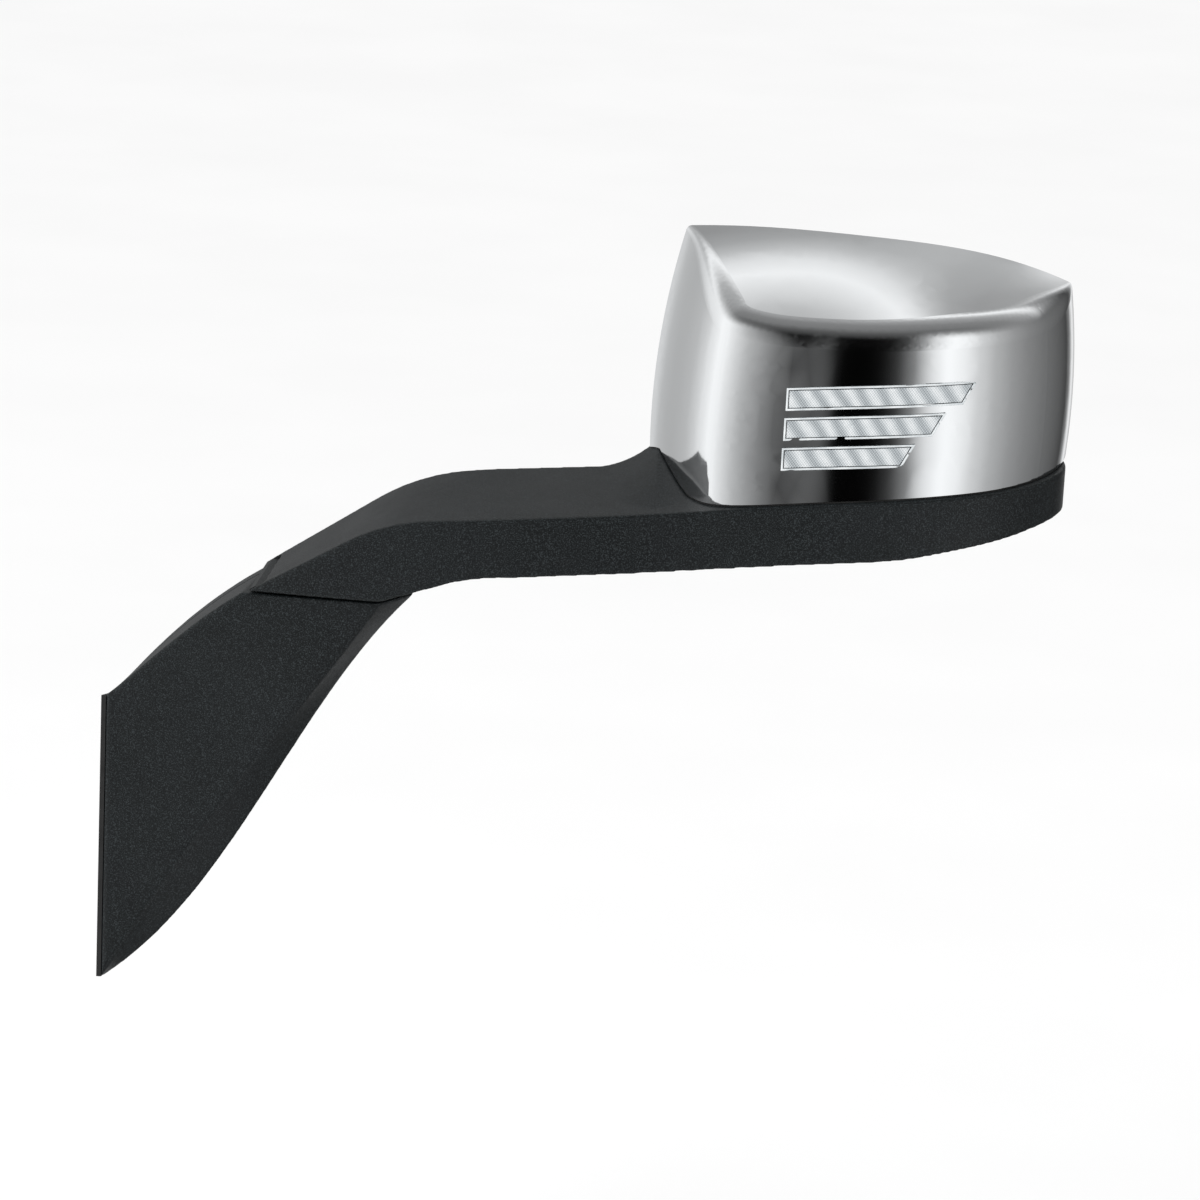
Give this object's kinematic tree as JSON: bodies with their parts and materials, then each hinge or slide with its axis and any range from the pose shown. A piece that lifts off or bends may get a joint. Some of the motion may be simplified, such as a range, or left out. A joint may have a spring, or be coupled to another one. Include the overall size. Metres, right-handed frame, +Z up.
{
  "type": "hood mirror with light bars",
  "caption": "Fold-away truck hood mirror: chromed head with clear light bars on a grained black arm and hood foot; the convex glass tilts and turns.",
  "frame": {"origin": "centre of the bolt pattern on the outer face of the foot's gasket, where it meets the hood", "axes": "+X out from the hood towards the free end of the arm, -Y towards the front of the vehicle, +Z up"},
  "size_m": [0.6127, 0.1098, 0.5068],
  "materials": {
    "black_grained": "fine grained",
    "black_smooth": "satin",
    "inner_plastic": "plain",
    "chrome": "polished",
    "rubber": "matt",
    "friction": "natural acetal",
    "steel": "zinc plated",
    "casting": "die cast",
    "lens": "clear, ribbed",
    "circuit": "white lacquer",
    "led": "resin",
    "mirror": "convex mirror",
    "heater": "foil",
    "brass": "plain"
  },
  "bodies": {
    "base": {"base_gasket": "rubber", "base_cover_front": "black_grained", "base_cover_rear": "black_grained", "base_cover_screws": "steel", "base_bracket": "casting", "threaded_inserts": "steel", "cable_grommet": "rubber", "pivot_bush": "friction", "friction_ring_lower": "friction", "seam_seal": "rubber", "thrust_washer": "friction"},
    "arm": {"friction_ring_upper": "friction", "pivot_bolt": "steel", "spring_seat": "steel", "pivot_nut": "steel", "breakaway_spring": "steel", "arm_core": "casting", "arm_cover_upper": "black_grained", "arm_cover_lower": "black_grained", "arm_cover_screws": "steel", "head_frame": "casting", "head_bolts": "steel", "chrome_cap": "chrome", "cap_seal": "rubber", "rear_bezel": "black_smooth", "bezel_screws": "steel", "lamp_housing": "inner_plastic", "lamp_lens_upper": "lens", "lamp_lens_middle": "lens", "lamp_lens_lower": "lens", "lamp_seals": "rubber", "lamp_boards": "circuit", "lamp_leds": "led", "lamp_screws": "steel"},
    "glass_cross": {"pivot_cross": "steel", "cross_washers": "friction"},
    "glass": {"mirror_glass": "mirror", "heater_pad": "heater", "glass_holder": "inner_plastic", "heater_terminals": "brass"}
  },
  "joints": [
    {"name": "fold", "type": "hinge", "parent": "base", "child": "arm", "pos_m": [0.134, 0, 0.162], "axis": [0, 0, 1], "range_deg": [-60, 60]},
    {"name": "glass_yaw", "type": "hinge", "parent": "arm", "child": "glass_cross", "pos_m": [0.477, 0.02, 0.318], "axis": [0, 0, 1], "range_deg": [-7, 7]},
    {"name": "glass_pitch", "type": "hinge", "parent": "glass_cross", "child": "glass", "pos_m": [0.477, 0.02, 0.318], "axis": [1, 0, 0], "range_deg": [-7, 7]}
  ]
}
